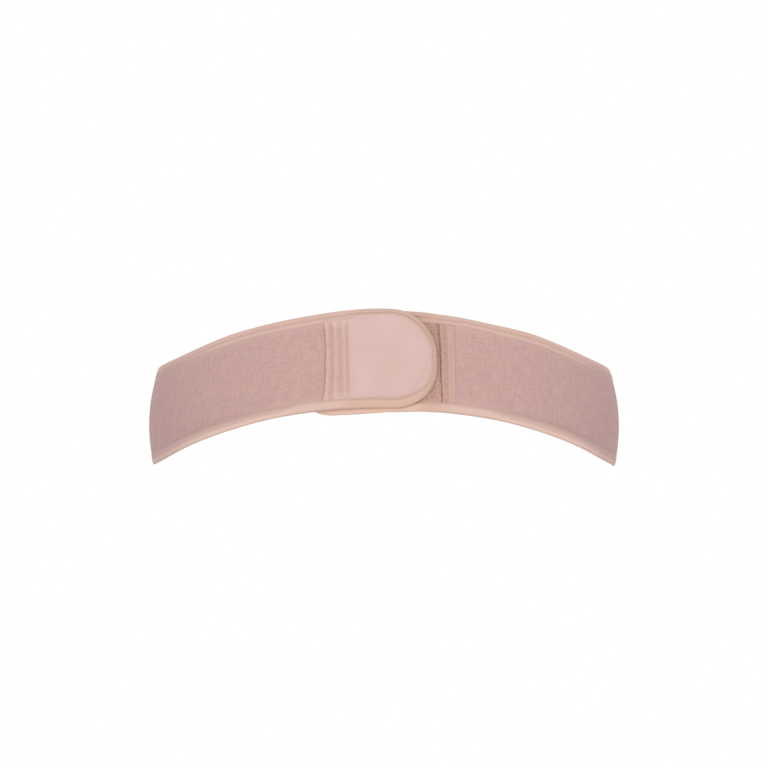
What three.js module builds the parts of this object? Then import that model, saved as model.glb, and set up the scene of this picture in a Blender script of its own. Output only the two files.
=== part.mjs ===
// A compression belt for the upper chest, fastened as it is worn: a long strap of wide woven elastic
// with a rounded closing tab at one end and a loop-faced landing at the other, bound with folded tape.
//
// Millimetres, +Z up, the front faces -Y. The origin is the middle of the hollow that takes the chest,
// level with the strap's middle line at the front.
//
// Each piece is first laid out flat, as it is cut, and then wrapped round the chest:
//   along   runs down the strap: 0 at the front centre on the landing, once round the chest, and
//           GIRTH at the front centre again, on the tab
//   across  runs up the strap from its middle line
//   out     is the distance outside the strap's middle surface

import * as THREE from 'three';

// The chest that the belt goes round, measured to the strap's middle surface
const HALF_WIDTH = 185.3;
const HALF_DEPTH = 119;
const BOXINESS = 2; // how far the plan squares off from a plain oval
const SIDE_DIP = 48.6; // how far the strap sinks from the front centre on its way to under the arms
const DIP_LATE_SHARE = 0.27; // the share of that dip that comes late, close to the arms
const LEVEL_FROM = 0.7; // the share of the sideways way, squared, where the strap starts to level off
const LEVEL_RISE = 3; // how much less it has sunk for that under the arms

// The strap
const STRAP_HEIGHT = 75; // stock width of the elastic, tape included
const CLOTH = 1.4;
const TAPE = 0.9;
const GAP = 0.3; // clearance between pieces that touch

// The front closure, as distances along the strap from the front centre
const TAB_END = 39.8;
const TAB_SEAM = -35.3; // where the elastic meets the tab
const TAB_STRIP = { from: -43.9, to: -26.6 };
const LANDING_END = -70;
const LANDING_SEAM = 53.2; // where the landing meets the elastic
const LANDING_STRIP = { from: 42.3, to: 54.2 };
const HOOK_PATCH = { from: -20, to: 22, height: 42 };
const STRIP_THICKNESS = 1;
const CORNER = 33; // radius of the tab's and the landing's corners
const RAMP = { from: -122, to: -72 }; // where the strap climbs onto the landing

// How far the tape reaches in from the strap's edge
const TAPE_REACH = {
  bandTop: 8.2,
  bandBottom: 8.2,
  tabEnd: 3.8,
  tabTop: 4.2,
  landingTop: 7.9,
  landingBottom: 8,
};

// Facets
const BAND_STEPS = 100;
const PANEL_ROWS = 7;
const PANEL_STEPS = 14;
const STRIP_STEPS = 3;
const TAPE_STEPS = 44;
const FOLD_FACETS = 2; // per quarter turn
const NEWTON_ROUNDS = 12;

// Sizes that follow from those above
const HALF_STRAP = STRAP_HEIGHT / 2;
const MEAN_REACH = (HALF_WIDTH + HALF_DEPTH) / 2 + BOXINESS;
const SIDE_REACH = (HALF_WIDTH - HALF_DEPTH) / 2;
const GIRTH = 2 * Math.PI * MEAN_REACH;
const HALF_CLOTH = CLOTH / 2;
const TAPE_INSIDE = HALF_CLOTH + GAP; // half the width of the slot in the folded tape
const HALF_TAPE = TAPE_INSIDE + TAPE;
const FOLD_ROOM = TAPE + GAP; // from the tape's fold to the cloth's cut edge
const LIFT = 2 * HALF_TAPE + GAP; // how far the tab's end of the strap stands off the landing
const CLOTH_TOP = HALF_STRAP - FOLD_ROOM;
const STRIP_INNER = HALF_CLOTH + GAP;

// The lean of the strap's section, by azimuth from the front: it is an arc from its lower edge's tilt
// to its upper edge's, in degrees, and a positive tilt leans the cloth in towards the body
const LEAN = [
  { azimuth: 0, bottomTilt: 8, topTilt: 13 },
  { azimuth: 35, bottomTilt: -1, topTilt: 17 },
  { azimuth: 62, bottomTilt: -3, topTilt: 11 },
  { azimuth: 90, bottomTilt: -15, topTilt: 20 },
  { azimuth: 118, bottomTilt: -2, topTilt: 10 },
  { azimuth: 180, bottomTilt: 2, topTilt: 6 },
];

// How the strap lies on its way round: its rise above the even course, and its height against the
// nominal one, a little less where it is stretched over the breast and the back, and more under the
// arms and at the landing's free end
const COURSE = [
  { along: LANDING_END, rise: -0.6, spread: 1.06 },
  { along: -20, rise: -1.3, spread: 1.06 },
  { along: 10, rise: -0.5, spread: 1.045 },
  { along: 30, rise: -0.1, spread: 1.025 },
  { along: 45, rise: -0.3, spread: 1.01 },
  { along: 85, rise: -0.8, spread: 0.992 },
  { along: 130, rise: -0.4, spread: 1.012 },
  { along: 0.25 * GIRTH, rise: 0.4, spread: 1.035 },
  { along: 0.36 * GIRTH, rise: 2, spread: 0.98 },
  { along: 0.64 * GIRTH, rise: 2.4, spread: 0.98 },
  { along: 0.75 * GIRTH, rise: 1.4, spread: 1.035 },
  { along: GIRTH - 130, rise: 0.4, spread: 1.014 },
  { along: GIRTH - 80, rise: -0.4, spread: 0.987 },
  { along: GIRTH - 5, rise: 1.1, spread: 1.015 },
  { along: GIRTH + 30, rise: 0.6, spread: 1 },
];

function ease(share) {
  const x = THREE.MathUtils.clamp(share, 0, 1);
  return x * x * (3 - 2 * x);
}

// A column of a table at a place between its rows
function lookUp(rows, key, column, at) {
  const next = rows.findIndex((row) => row[key] > at);
  if (next === 0) return rows[0][column];
  if (next < 0) return rows[rows.length - 1][column];
  const low = rows[next - 1];
  const high = rows[next];
  const share = ease((at - low[key]) / (high[key] - low[key]));
  return THREE.MathUtils.lerp(low[column], high[column], share);
}

// The azimuth of the chest's outward normal at a length along the strap. The plan is given by its
// reach from the centre to the tangent, MEAN - SIDE cos 2a - BOXINESS cos 4a, so its length and its
// radius are closed forms of the azimuth a.
function azimuthAt(along) {
  let a = along / MEAN_REACH;
  for (let round = 0; round < NEWTON_ROUNDS; round += 1) {
    const length = MEAN_REACH * a + 1.5 * SIDE_REACH * Math.sin(2 * a) + 3.75 * BOXINESS * Math.sin(4 * a);
    const radius = MEAN_REACH + 3 * SIDE_REACH * Math.cos(2 * a) + 15 * BOXINESS * Math.cos(4 * a);
    a -= (length - along) / radius;
  }
  return a;
}

// A point of the flat layout, wrapped round the chest
function place(along, across, out) {
  const a = azimuthAt(along);
  const sin = Math.sin(a);
  const cos = Math.cos(a);
  const reach = MEAN_REACH - SIDE_REACH * Math.cos(2 * a) - BOXINESS * Math.cos(4 * a);
  const slide = 2 * SIDE_REACH * Math.sin(2 * a) + 4 * BOXINESS * Math.sin(4 * a);
  const x = reach * sin + slide * cos;
  const y = slide * sin - reach * cos;

  const turn = THREE.MathUtils.radToDeg(Math.abs(Math.atan2(sin, cos)));
  const bottomTilt = THREE.MathUtils.degToRad(lookUp(LEAN, 'azimuth', 'bottomTilt', turn));
  const topTilt = THREE.MathUtils.degToRad(lookUp(LEAN, 'azimuth', 'topTilt', turn));
  const midTilt = (bottomTilt + topTilt) / 2;
  const curl = (topTilt - bottomTilt) / STRAP_HEIGHT;
  const tilt = midTilt + curl * across * lookUp(COURSE, 'along', 'spread', along);
  const inward = (Math.cos(midTilt) - Math.cos(tilt)) / curl;
  const up = (Math.sin(tilt) - Math.sin(midTilt)) / curl;

  const offset = out + LIFT * ease((along - GIRTH - RAMP.from) / (RAMP.to - RAMP.from));
  const outward = offset * Math.cos(tilt) - inward;
  const sideways = (x / HALF_WIDTH) ** 2;
  const level = THREE.MathUtils.clamp((sideways - LEVEL_FROM) / (1 - LEVEL_FROM), 0, 1);
  const dip = SIDE_DIP * ((1 - DIP_LATE_SHARE) * sideways + DIP_LATE_SHARE * sideways ** 2);
  const rise = lookUp(COURSE, 'along', 'rise', along) + LEVEL_RISE * level ** 3;
  return new THREE.Vector3(x + outward * sin, y - outward * cos, rise - dip + up + offset * Math.sin(tilt));
}

// Moves every vertex of a geometry to where toFlat puts it in the flat layout, and then round the chest
function wrap(geometry, toFlat) {
  const points = geometry.getAttribute('position');
  for (let i = 0; i < points.count; i += 1) {
    const flat = toFlat(points.getX(i), points.getY(i), points.getZ(i));
    const spot = place(flat.along, flat.across, flat.out);
    points.setXYZ(i, spot.x, spot.y, spot.z);
  }
  geometry.computeVertexNormals();
  return geometry;
}

// How much a corner of the given radius takes off the edge, at a distance from the panel's round end
function cornerCut(distance, radius) {
  if (distance >= radius) return 0;
  return radius - Math.sqrt(radius ** 2 - (radius - distance) ** 2);
}

// A panel of cloth: a segmented slab, bent round the chest. roundEnd is -1 for round corners at its
// start, 1 at its end, and 0 for none; its columns crowd towards the round end.
function panel({ from, to, low, high, inner, outer, steps, rows, roundEnd = 0, corner = 0 }) {
  const slab = new THREE.BoxGeometry(1, 1, 1, steps, rows, 1);
  return wrap(slab, (x, y, z) => {
    const even = x + 0.5;
    const toEnd = Math.sin((even * Math.PI) / 2);
    const toStart = 1 - Math.cos((even * Math.PI) / 2);
    const share = [toStart, even, toEnd][roundEnd + 1];
    const along = THREE.MathUtils.lerp(from, to, share);
    const cut = cornerCut(roundEnd < 0 ? along - from : to - along, corner);
    return {
      along,
      across: THREE.MathUtils.lerp(low + cut, high - cut, y + 0.5),
      out: THREE.MathUtils.lerp(inner, outer, z + 0.5),
    };
  });
}

// The section of the folded tape: x runs in from the fold to the lips, y out of the strap
function tapeSection(lip) {
  const section = new THREE.Shape();
  section.moveTo(lip, HALF_TAPE);
  section.absarc(HALF_TAPE, 0, HALF_TAPE, Math.PI / 2, (3 * Math.PI) / 2, false);
  section.lineTo(lip, -HALF_TAPE);
  section.lineTo(lip, -TAPE_INSIDE);
  section.lineTo(TAPE, -TAPE_INSIDE);
  section.lineTo(TAPE, TAPE_INSIDE);
  section.lineTo(lip, TAPE_INSIDE);
  return section;
}

// Tape folded over an edge. The route is the fold's path in the flat layout, with the cloth on its
// left, and reachAt gives the tape's reach at a share of the route.
function binding(route, reachAt, steps) {
  const lip = STRAP_HEIGHT; // any length past the fold: the lips are set to their reach below
  const options = { steps, depth: 1, bevelEnabled: false, curveSegments: FOLD_FACETS };
  const tape = new THREE.ExtrudeGeometry(tapeSection(lip), options);
  return wrap(tape, (x, y, z) => {
    const share = Math.min(z, 1);
    const spot = route.getPoint(share);
    const way = route.getTangent(share);
    const inset = x === lip ? reachAt(share) : x;
    return { along: spot.x - way.y * inset, across: spot.y + way.x * inset, out: y };
  });
}

// The fold's path round a tab or landing, from its seam, round its free end and back
function roundEndRoute(seam, end) {
  const towards = Math.sign(end - seam);
  const near = -towards * HALF_STRAP; // the edge that the route takes first
  const turn = end - towards * CORNER;
  const route = new THREE.Path();
  route.moveTo(seam, near);
  route.lineTo(turn, near);
  const start = towards > 0 ? -Math.PI / 2 : Math.PI / 2;
  route.absarc(turn, near + towards * CORNER, CORNER, start, start + Math.PI / 2, false);
  route.lineTo(end, -near - towards * CORNER);
  route.absarc(turn, -near - towards * CORNER, CORNER, start + Math.PI / 2, start + Math.PI, false);
  route.lineTo(seam, -near);
  return route;
}

function straightRoute(from, to, across) {
  const route = new THREE.Path();
  route.moveTo(from, across);
  route.lineTo(to, across);
  return route;
}

const BAND = { from: LANDING_SEAM + GAP / 2, to: GIRTH + TAB_SEAM - GAP / 2 };
const TAB = { from: GIRTH + TAB_SEAM + GAP / 2, to: GIRTH + TAB_END };
const LANDING = { from: LANDING_END, to: LANDING_SEAM - GAP / 2 };

function elasticBand() {
  return panel({
    ...BAND,
    low: -CLOTH_TOP,
    high: CLOTH_TOP,
    inner: -HALF_CLOTH,
    outer: HALF_CLOTH,
    steps: BAND_STEPS,
    rows: PANEL_ROWS,
  });
}

function closureTab() {
  return panel({
    from: TAB.from,
    to: TAB.to - FOLD_ROOM,
    low: -CLOTH_TOP,
    high: CLOTH_TOP,
    inner: -HALF_CLOTH,
    outer: HALF_CLOTH,
    steps: PANEL_STEPS,
    rows: PANEL_ROWS,
    roundEnd: 1,
    corner: CORNER - FOLD_ROOM,
  });
}

function landingPanel() {
  return panel({
    from: LANDING.from + FOLD_ROOM,
    to: LANDING.to,
    low: -CLOTH_TOP,
    high: CLOTH_TOP,
    inner: -HALF_CLOTH,
    outer: HALF_CLOTH,
    steps: PANEL_STEPS,
    rows: PANEL_ROWS,
    roundEnd: -1,
    corner: CORNER - FOLD_ROOM,
  });
}

// The patch lies between the tab and the landing, sewn to the tab's back
function hookPatch() {
  return panel({
    from: GIRTH + HOOK_PATCH.from,
    to: GIRTH + HOOK_PATCH.to,
    low: -HOOK_PATCH.height / 2,
    high: HOOK_PATCH.height / 2,
    inner: HALF_CLOTH + GAP - LIFT,
    outer: -HALF_CLOTH - GAP,
    steps: PANEL_STEPS / 2,
    rows: PANEL_ROWS,
  });
}

// A strip over a seam, between the upper and the lower tape
function joinStrip(turn, span, topReach, bottomReach) {
  return panel({
    from: turn + span.from,
    to: turn + span.to,
    low: -HALF_STRAP + bottomReach + GAP,
    high: HALF_STRAP - topReach - GAP,
    inner: STRIP_INNER,
    outer: STRIP_INNER + STRIP_THICKNESS,
    steps: STRIP_STEPS,
    rows: PANEL_ROWS,
  });
}

function bandTopBinding() {
  const route = straightRoute(BAND.to, BAND.from, HALF_STRAP);
  return binding(route, () => TAPE_REACH.bandTop, BAND_STEPS);
}

function bandBottomBinding() {
  const route = straightRoute(BAND.from, BAND.to, -HALF_STRAP);
  return binding(route, () => TAPE_REACH.bandBottom, BAND_STEPS);
}

// Widest along the lower edge, narrowest round the end, and as wide as the strap's where it meets it
function tabBinding() {
  const reaches = [
    { share: 0, reach: TAPE_REACH.bandBottom },
    { share: 0.3, reach: TAPE_REACH.bandBottom },
    { share: 0.5, reach: TAPE_REACH.tabEnd },
    { share: 0.7, reach: TAPE_REACH.tabTop },
    { share: 0.94, reach: TAPE_REACH.tabTop },
    { share: 0.97, reach: TAPE_REACH.bandTop },
  ];
  const route = roundEndRoute(TAB.from, TAB.to);
  return binding(route, (share) => lookUp(reaches, 'share', 'reach', share), TAPE_STEPS);
}

function landingBinding() {
  const { landingTop, landingBottom } = TAPE_REACH;
  const route = roundEndRoute(LANDING.to, LANDING.from);
  return binding(route, (share) => THREE.MathUtils.lerp(landingTop, landingBottom, ease(share)), TAPE_STEPS);
}

const COLOUR = {
  elastic: 0xc9a49d,
  tab: 0xdbbcb5,
  loopPile: 0xba9487,
  hook: 0xcfa798,
  tabJoin: 0xd1aca3,
  landingJoin: 0xc9a092,
  tape: 0xd9b6a3,
};

const tabJoinStrip = joinStrip(GIRTH, TAB_STRIP, TAPE_REACH.bandTop, TAPE_REACH.bandBottom);
const landingJoinStrip = joinStrip(0, LANDING_STRIP, TAPE_REACH.landingTop, TAPE_REACH.landingBottom);

const PIECES = [
  { name: 'elastic_band', geometry: elasticBand(), color: COLOUR.elastic, roughness: 0.85 },
  { name: 'closure_tab', geometry: closureTab(), color: COLOUR.tab, roughness: 0.8 },
  { name: 'landing_panel', geometry: landingPanel(), color: COLOUR.loopPile, roughness: 0.95 },
  { name: 'hook_patch', geometry: hookPatch(), color: COLOUR.hook, roughness: 0.7 },
  { name: 'tab_join_strip', geometry: tabJoinStrip, color: COLOUR.tabJoin, roughness: 0.85 },
  { name: 'landing_join_strip', geometry: landingJoinStrip, color: COLOUR.landingJoin, roughness: 0.85 },
  { name: 'band_top_binding', geometry: bandTopBinding(), color: COLOUR.tape, roughness: 0.8 },
  { name: 'band_bottom_binding', geometry: bandBottomBinding(), color: COLOUR.tape, roughness: 0.8 },
  { name: 'tab_binding', geometry: tabBinding(), color: COLOUR.tape, roughness: 0.8 },
  { name: 'landing_binding', geometry: landingBinding(), color: COLOUR.tape, roughness: 0.8 },
];

const belt = new THREE.Group();
belt.name = 'compression_belt';
for (const { name, geometry, color, roughness } of PIECES) {
  const material = new THREE.MeshStandardMaterial({ color, roughness, metalness: 0 });
  const mesh = new THREE.Mesh(geometry, material);
  mesh.name = name;
  belt.add(mesh);
}

export default belt;
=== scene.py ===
"""The looks of a chest compression belt, built round its solids.

The scene is in metres, +Z up, and the front faces -Y. Each piece of cloth, tape and thread is laid out
flat in millimetres, as it is cut and sewn, and then wrapped into the belt's loop:
    along   runs down the strap: 0 at the front centre on the landing, once round the loop, and
            GIRTH at the front centre again, on the tab
    across  runs up the strap from its middle line
    out     is the distance outside the strap's middle surface
"""

import math
from dataclasses import dataclass
import bpy
import numpy as np
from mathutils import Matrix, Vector


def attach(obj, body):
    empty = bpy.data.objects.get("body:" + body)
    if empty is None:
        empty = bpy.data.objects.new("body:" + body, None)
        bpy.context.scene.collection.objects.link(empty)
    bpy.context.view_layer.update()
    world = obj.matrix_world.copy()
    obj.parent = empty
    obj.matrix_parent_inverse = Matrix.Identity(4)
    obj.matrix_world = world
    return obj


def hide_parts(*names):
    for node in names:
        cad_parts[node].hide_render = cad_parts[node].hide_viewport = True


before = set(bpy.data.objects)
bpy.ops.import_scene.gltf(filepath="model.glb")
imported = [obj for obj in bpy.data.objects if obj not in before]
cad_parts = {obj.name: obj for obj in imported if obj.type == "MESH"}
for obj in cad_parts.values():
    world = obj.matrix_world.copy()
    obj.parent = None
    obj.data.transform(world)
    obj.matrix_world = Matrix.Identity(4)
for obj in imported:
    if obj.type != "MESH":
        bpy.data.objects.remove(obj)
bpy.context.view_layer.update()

MM = 0.001  # in metres

# The loop, measured to the strap's middle surface
HALF_WIDTH = 185.3
HALF_DEPTH = 119
BOXINESS = 2  # how much fuller it is than an oval
SIDE_DIP = 48.6  # how much lower the strap lies at the sides
DIP_LATE_SHARE = 0.27  # of that, what comes only near the sides
LEVEL_FROM = 0.7  # where it begins to level out, as the square of the share of the way to a side
LEVEL_RISE = 3

# The strap
STRAP_HEIGHT = 75
CLOTH = 1.4
TAPE = 0.9
GAP = 0.3

# The front closure, as distances along the strap from the front centre
TAB_END = 39.8
TAB_SEAM = -35.3
TAB_STRIP = (-43.9, -26.6)
LANDING_END = -70
LANDING_SEAM = 53.2
LANDING_STRIP = (42.3, 54.2)
HOOK_PATCH = (-20, 22)
RAMP = (-122, -72)  # where the strap rises to lie on the landing

# Its other sizes
HOOK_PATCH_HEIGHT = 42
CORNER = 33  # the radius of the tab's and the landing's corners

# How far the tape reaches in from the strap's edge
BAND_TOP_REACH = 8.2
BAND_BOTTOM_REACH = 8.2
TAB_END_REACH = 3.8
TAB_TOP_REACH = 4.2
TAB_CORNER_REACH = 6.6
LANDING_TOP_REACH = 7.9
LANDING_BOTTOM_REACH = 8

# Sizes that follow from those above
HALF_STRAP = STRAP_HEIGHT / 2
MEAN_REACH = (HALF_WIDTH + HALF_DEPTH) / 2 + BOXINESS
SIDE_REACH = (HALF_WIDTH - HALF_DEPTH) / 2
GIRTH = 2 * math.pi * MEAN_REACH
HALF_CLOTH = CLOTH / 2
HALF_TAPE = HALF_CLOTH + GAP + TAPE
FOLD_ROOM = TAPE + GAP
LIFT = 2 * HALF_TAPE + GAP  # from the landing's layer to the tab's
CLOTH_TOP = HALF_STRAP - FOLD_ROOM
BAND_FROM = LANDING_SEAM
TAPE_SEAM = LANDING_STRIP[1] + GAP
BAND_TO = GIRTH + TAB_SEAM
TAB_FROM = BAND_TO
TAB_TO = GIRTH + TAB_END


def table(names, *rows):
    """Rows of values by name."""
    return [dict(zip(names.split(), row)) for row in rows]


# The lean of the strap's section, by azimuth from the front, in degrees
LEAN = table(
    "at bottom top",
    (0, 8, 13),
    (35, -1, 17),
    (62, -3, 11),
    (90, -15, 20),
    (118, -2, 10),
    (180, 2, 6),
)

# The strap's rise above its even course, and its height against the nominal one, by length along it
COURSE = table(
    "at rise spread",
    (LANDING_END, -0.6, 1.06),
    (-20, -1.3, 1.06),
    (10, -0.5, 1.045),
    (30, -0.1, 1.025),
    (45, -0.3, 1.01),
    (85, -0.8, 0.992),
    (130, -0.4, 1.012),
    (0.25 * GIRTH, 0.4, 1.035),
    (0.36 * GIRTH, 2, 0.98),
    (0.64 * GIRTH, 2.4, 0.98),
    (0.75 * GIRTH, 1.4, 1.035),
    (GIRTH - 130, 0.4, 1.014),
    (GIRTH - 80, -0.4, 0.987),
    (GIRTH - 5, 1.1, 1.015),
    (GIRTH + 30, 0.6, 1),
)

# Tape, as it is folded and sewn
UNDER = 0.75  # the underside of what is sewn on the cloth
CLEAR = 0.05  # the room between faces that lie on each other
HALF_FOLD = 1.5  # half the folded tape's thickness
HALF_SIDE_FOLD = 1  # the same at the belt's sides
TAPE_CLOTH = 0.6  # the tape's own thickness at its fold
INNER_PUFF = 0.3  # its puff on the inner side, against the outside
LIP = 1  # the top of the tape past its stitches
LIP_SLOPE = 1.4  # the width of the slope down to them
LIP_LIFT = 1.5  # the same where a join strip lifts the lip
LIP_ROUND = 1.4
LIP_CLOSED = 0.98  # how nearly the lip's round edge closes on the cloth
FOLD_SHADE = 1.8  # how far in from the fold its shade reaches
PINCH = 0.2  # how deep the needle holes draw the tape in
PINCH_WIDTH = 0.5
PINCH_BETWEEN = 0.5  # how much of that is left between them
SEWN_WIDTH = 0.8
REACH_WAVES = dict(size=31, height=0.25, seed=0)
STITCH_WAVES = dict(size=47, height=0.15, seed=1)
PUFF_WAVES = dict(size=13, height=0.12, seed=2)
WAVES_FADE = 12  # how far from its ends they die away

# Stitches
OUTSIDE = 1
INSIDE = -1
STITCH = 2.7  # from one needle hole to the next
ZIGZAG = 1.3  # the same in a zigzag
STITCH_SHARE = 0.62  # of STITCH, where the thread shows
THREAD = 0.3  # radius
THREAD_END = 0.55  # the radius at the needle holes, against that
THREAD_ARCH = 0.6  # the power of its arch: a lower one rises sooner
THREAD_ABOVE = 0.3 * THREAD
THREAD_BOW = 0.5 * THREAD
TAPE_DIVE = 1.6 * THREAD
JOIN_DIVE = 1.5 * THREAD

# Join strips
TUCK = 1.6  # how far a join strip runs in under the tape
PRESSED = 1.15  # the top of a join strip where the tape holds it down
PRESSED_OVER = 2.6
JOIN_ROOM = 0.6  # how far past a join strip the tape is still lifted
JOIN_RAMP = 2.5
JOIN_EDGE_WAVES = dict(size=23, height=0.3)
JOIN_TOP_WAVES = dict(size=7, height=0.1)

# The elastic
PUCKERS = dict(size=9, height=0.32)
PUCKER_RISE = 3
PUCKER_FADE = 9
PUCKER_FROM_JOIN = 8
TAPE_LIGHT_REACH = 5  # how far from the tape it is painted paler: painted light against the tape's shade

# Where it shows its stretch and painted side shade, and painted shade by its lower tape, in degrees from the
# front
STRETCH_SHADE_FROM = 8
STRETCH_SHADE_OVER = 62
SHADE_FROM = 13
SHADE_OVER = 20
BOTH_TO = 150
BOTH_FADE = 55

# The tab's face
TAB_SWELL = 0.4  # how far it stands out inside its tape
TAB_CROWN = 0.35  # how much further at its middle line
SWELL_OVER = 3
FACE_FROM = 0.2  # how far past the join strip it begins
FACE_OVER = 2
CORNER_OVER = 11  # how far past that strip the upper tape is wider
REACH_OVER = 20  # the height from the lower tape's reach to the upper one's
RIM_SHADE_WIDTH = 2.6  # how far from the tape the face is darkened by painted shade
RIM_FROM = 1.2  # where that begins, in corner radii
RIM_SHADE = 0.6

# Pile and hooks
PILE_RISE = 1.4  # how much thicker the pile is where the tab lies on it
PILE_RAMP = 3
PILE_PAST_TAB = 0.5
LOOPS = 1500
LOOPS_ALONG = (22, 42.5)
LOOP_LENGTHS = (0.35, 0.7)
LOOP = dict(radius=0.07, bow=0.32, dive=0.06)
HOOK_TAPE = 0.4  # the hook patch's thickness at its edge
HOOK_SWELL = 0.3  # how much thicker it is inside
HOOK_SWELL_OVER = 1.5
HOOKS = 20  # in a row, and as many rows
HOOK_LENGTH = 0.9
HOOK = dict(radius=0.14, bow=-1.1, dive=-0.2)

# Fineness of the meshes
BAND_STEP = 1.25
BAND_ROWS = 32
PANEL_COLUMNS = 150
PANEL_ROWS = 60
TAPE_STEP = STITCH / 3
FACE_POINTS = 11
FOLD_POINTS = 7
STRIP_STEP = 0.22
STRIP_ROWS = 70
THREAD_RINGS = 6
THREAD_SIDES = 6
REACH_SAMPLES = 100
NEWTON_ROUNDS = 12
WAVES = 4
WAVE_LENGTHS = (0.7, 1.6)  # against a wobble's size
SHARP_ANGLE = 70

# The finish of every cloth
GRAIN = (0.3, 0.7)  # where most values of a noise lie
SHEEN_ROUGHNESS = 0.6
BUMP_STRENGTH = 0.7

# The light that falls on the front, against a white surface that shows as white
FRONT_LIGHT = 1.3

# Colours as they show on the front, in 8-bit values
BEIGE = (219, 185, 173)
ROSY = (222, 186, 174)
# painted shade: the tape's body round the sides
DUSKY = (206, 174, 164)
# partly the lower tape's own colour, partly painted highlight on its puff
BLUSH = (227, 196, 183)
# painted highlight on the lower tape's crest
CREST = (236, 205, 192)
ROSE = (214, 180, 170)
PEACH = (221, 184, 165)
BUFF = (214, 180, 165)
# painted shade: the tape round the tab's free end, turned from the light
SHADED_TAN = (209, 176, 153)
FACE = (219, 188, 180)
ELASTIC = (209, 172, 164)
# the elastic further round, darker with its stretch and painted side shade
FAR_ELASTIC = (196, 163, 158)
# painted shade: the tape's lip and edge round the sides
DIM = (187, 153, 149)
PILE = (204, 165, 150)
PAINTED_LIGHT_PEACH = (246, 208, 187)  # painted light: lighter, for what lies in the tab's shade

# Threads, where they are dark and where they are light
BEIGE_THREAD = ((210, 176, 160), (228, 197, 181))
PALE_THREAD = ((222, 183, 174), (240, 205, 196))

# What the elastic's colour is multiplied by round the sides: for its stretch, and for painted shade where
# the light falls off
STRETCH_AND_SHADE_TINT = (0.83, 0.81, 0.87, 1.0)
LOWER_EDGE_SHADE = 0.3  # how much more of that it shows at its lower edge, and less at its upper: painted shade, darker towards the bottom
SHADED_STRETCH = 0.5  # how much darker painted shade makes it round the sides, just above the lower tape


def ease(share):
    x = np.clip(share, 0, 1)
    return x * x * (3 - 2 * x)


def look_up(rows, column, at):
    """A column of a table at places between its rows."""
    places = np.array([row["at"] for row in rows])
    values = np.array([row[column] for row in rows])
    after = np.clip(np.searchsorted(places, at, side="right"), 1, len(rows) - 1)
    share = ease((at - places[after - 1]) / (places[after] - places[after - 1]))
    share = share[..., None] if values.ndim > 1 else share
    return values[after - 1] + (values[after] - values[after - 1]) * share


def azimuth_at(along):
    """The azimuth of the loop's outward normal at a length along the strap."""
    a = along / MEAN_REACH
    for _ in range(NEWTON_ROUNDS):
        length = MEAN_REACH * a + 1.5 * SIDE_REACH * np.sin(2 * a) + 3.75 * BOXINESS * np.sin(4 * a)
        radius = MEAN_REACH + 3 * SIDE_REACH * np.cos(2 * a) + 15 * BOXINESS * np.cos(4 * a)
        a = a - (length - along) / radius
    return a


def turn_at(azimuth):
    """Degrees from the front, to either side."""
    return np.degrees(np.abs(np.arctan2(np.sin(azimuth), np.cos(azimuth))))


def place(flat):
    """Points of the flat layout, as along, across and out in the last axis, wrapped into the loop."""
    along, across, out = flat[..., 0], flat[..., 1], flat[..., 2]
    a = azimuth_at(along)
    sin, cos = np.sin(a), np.cos(a)
    reach = MEAN_REACH - SIDE_REACH * np.cos(2 * a) - BOXINESS * np.cos(4 * a)
    slide = 2 * SIDE_REACH * np.sin(2 * a) + 4 * BOXINESS * np.sin(4 * a)
    x = reach * sin + slide * cos
    y = slide * sin - reach * cos

    turn = turn_at(a)
    bottom_tilt = np.radians(look_up(LEAN, "bottom", turn))
    top_tilt = np.radians(look_up(LEAN, "top", turn))
    mid_tilt = (bottom_tilt + top_tilt) / 2
    curl = (top_tilt - bottom_tilt) / STRAP_HEIGHT
    tilt = mid_tilt + curl * across * look_up(COURSE, "spread", along)
    inward = (np.cos(mid_tilt) - np.cos(tilt)) / curl
    up = (np.sin(tilt) - np.sin(mid_tilt)) / curl

    offset = out + LIFT * ease((along - GIRTH - RAMP[0]) / (RAMP[1] - RAMP[0]))
    outward = offset * np.cos(tilt) - inward
    sideways = (x / HALF_WIDTH) ** 2
    level = np.clip((sideways - LEVEL_FROM) / (1 - LEVEL_FROM), 0, 1)
    dip = SIDE_DIP * ((1 - DIP_LATE_SHARE) * sideways + DIP_LATE_SHARE * sideways**2)
    rise = look_up(COURSE, "rise", along) + LEVEL_RISE * level**3
    z = rise - dip + up + offset * np.sin(tilt)
    return MM * np.stack([x + outward * sin, y - outward * cos, z], axis=-1)


def flat_points(along, across, out):
    return np.stack(np.broadcast_arrays(along, across, out), axis=-1)


def wobble(at, size, height, seed):
    """Slow, uneven waves, about size long and at most height high."""
    random = np.random.default_rng(seed)
    lengths = size * random.uniform(*WAVE_LENGTHS, WAVES)
    phases = random.uniform(0, 2 * math.pi, WAVES)
    waves = [np.sin(2 * math.pi * at / length + phase) for length, phase in zip(lengths, phases)]
    return height * np.mean(waves, axis=0)


# Meshes


def grid_faces(index):
    """The four-sided faces of a grid of point numbers."""
    corners = [index[:-1, :-1], index[1:, :-1], index[1:, 1:], index[:-1, 1:]]
    return np.stack(corners, axis=-1).reshape(-1, 4)


def closed_sheet(outer, inner):
    """The flat points and faces of a sheet of cloth between its outer and its inner grid."""
    columns, rows = outer.shape[:2]
    top = np.arange(columns * rows).reshape(columns, rows)
    under = top + columns * rows
    rim = np.concatenate([top[:-1, 0], top[-1, :-1], top[:0:-1, -1], top[0, :0:-1]])
    after = np.roll(rim, -1)
    rim_faces = np.stack([rim, rim + columns * rows, after + columns * rows, after], axis=-1)
    faces = np.concatenate([grid_faces(top), grid_faces(under)[:, ::-1], rim_faces])
    return np.concatenate([outer.reshape(-1, 3), inner.reshape(-1, 3)]), faces


def flat_sheet(along, across, top, under):
    """A closed sheet between two heights over the same places."""
    return closed_sheet(flat_points(along, across, top), flat_points(along, across, under))


def both_faces(**marks):
    """Marks for a closed sheet's points, the same on its outer and its inner grid."""
    return {name: np.tile(values.ravel(), 2) for name, values in marks.items()}


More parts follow.
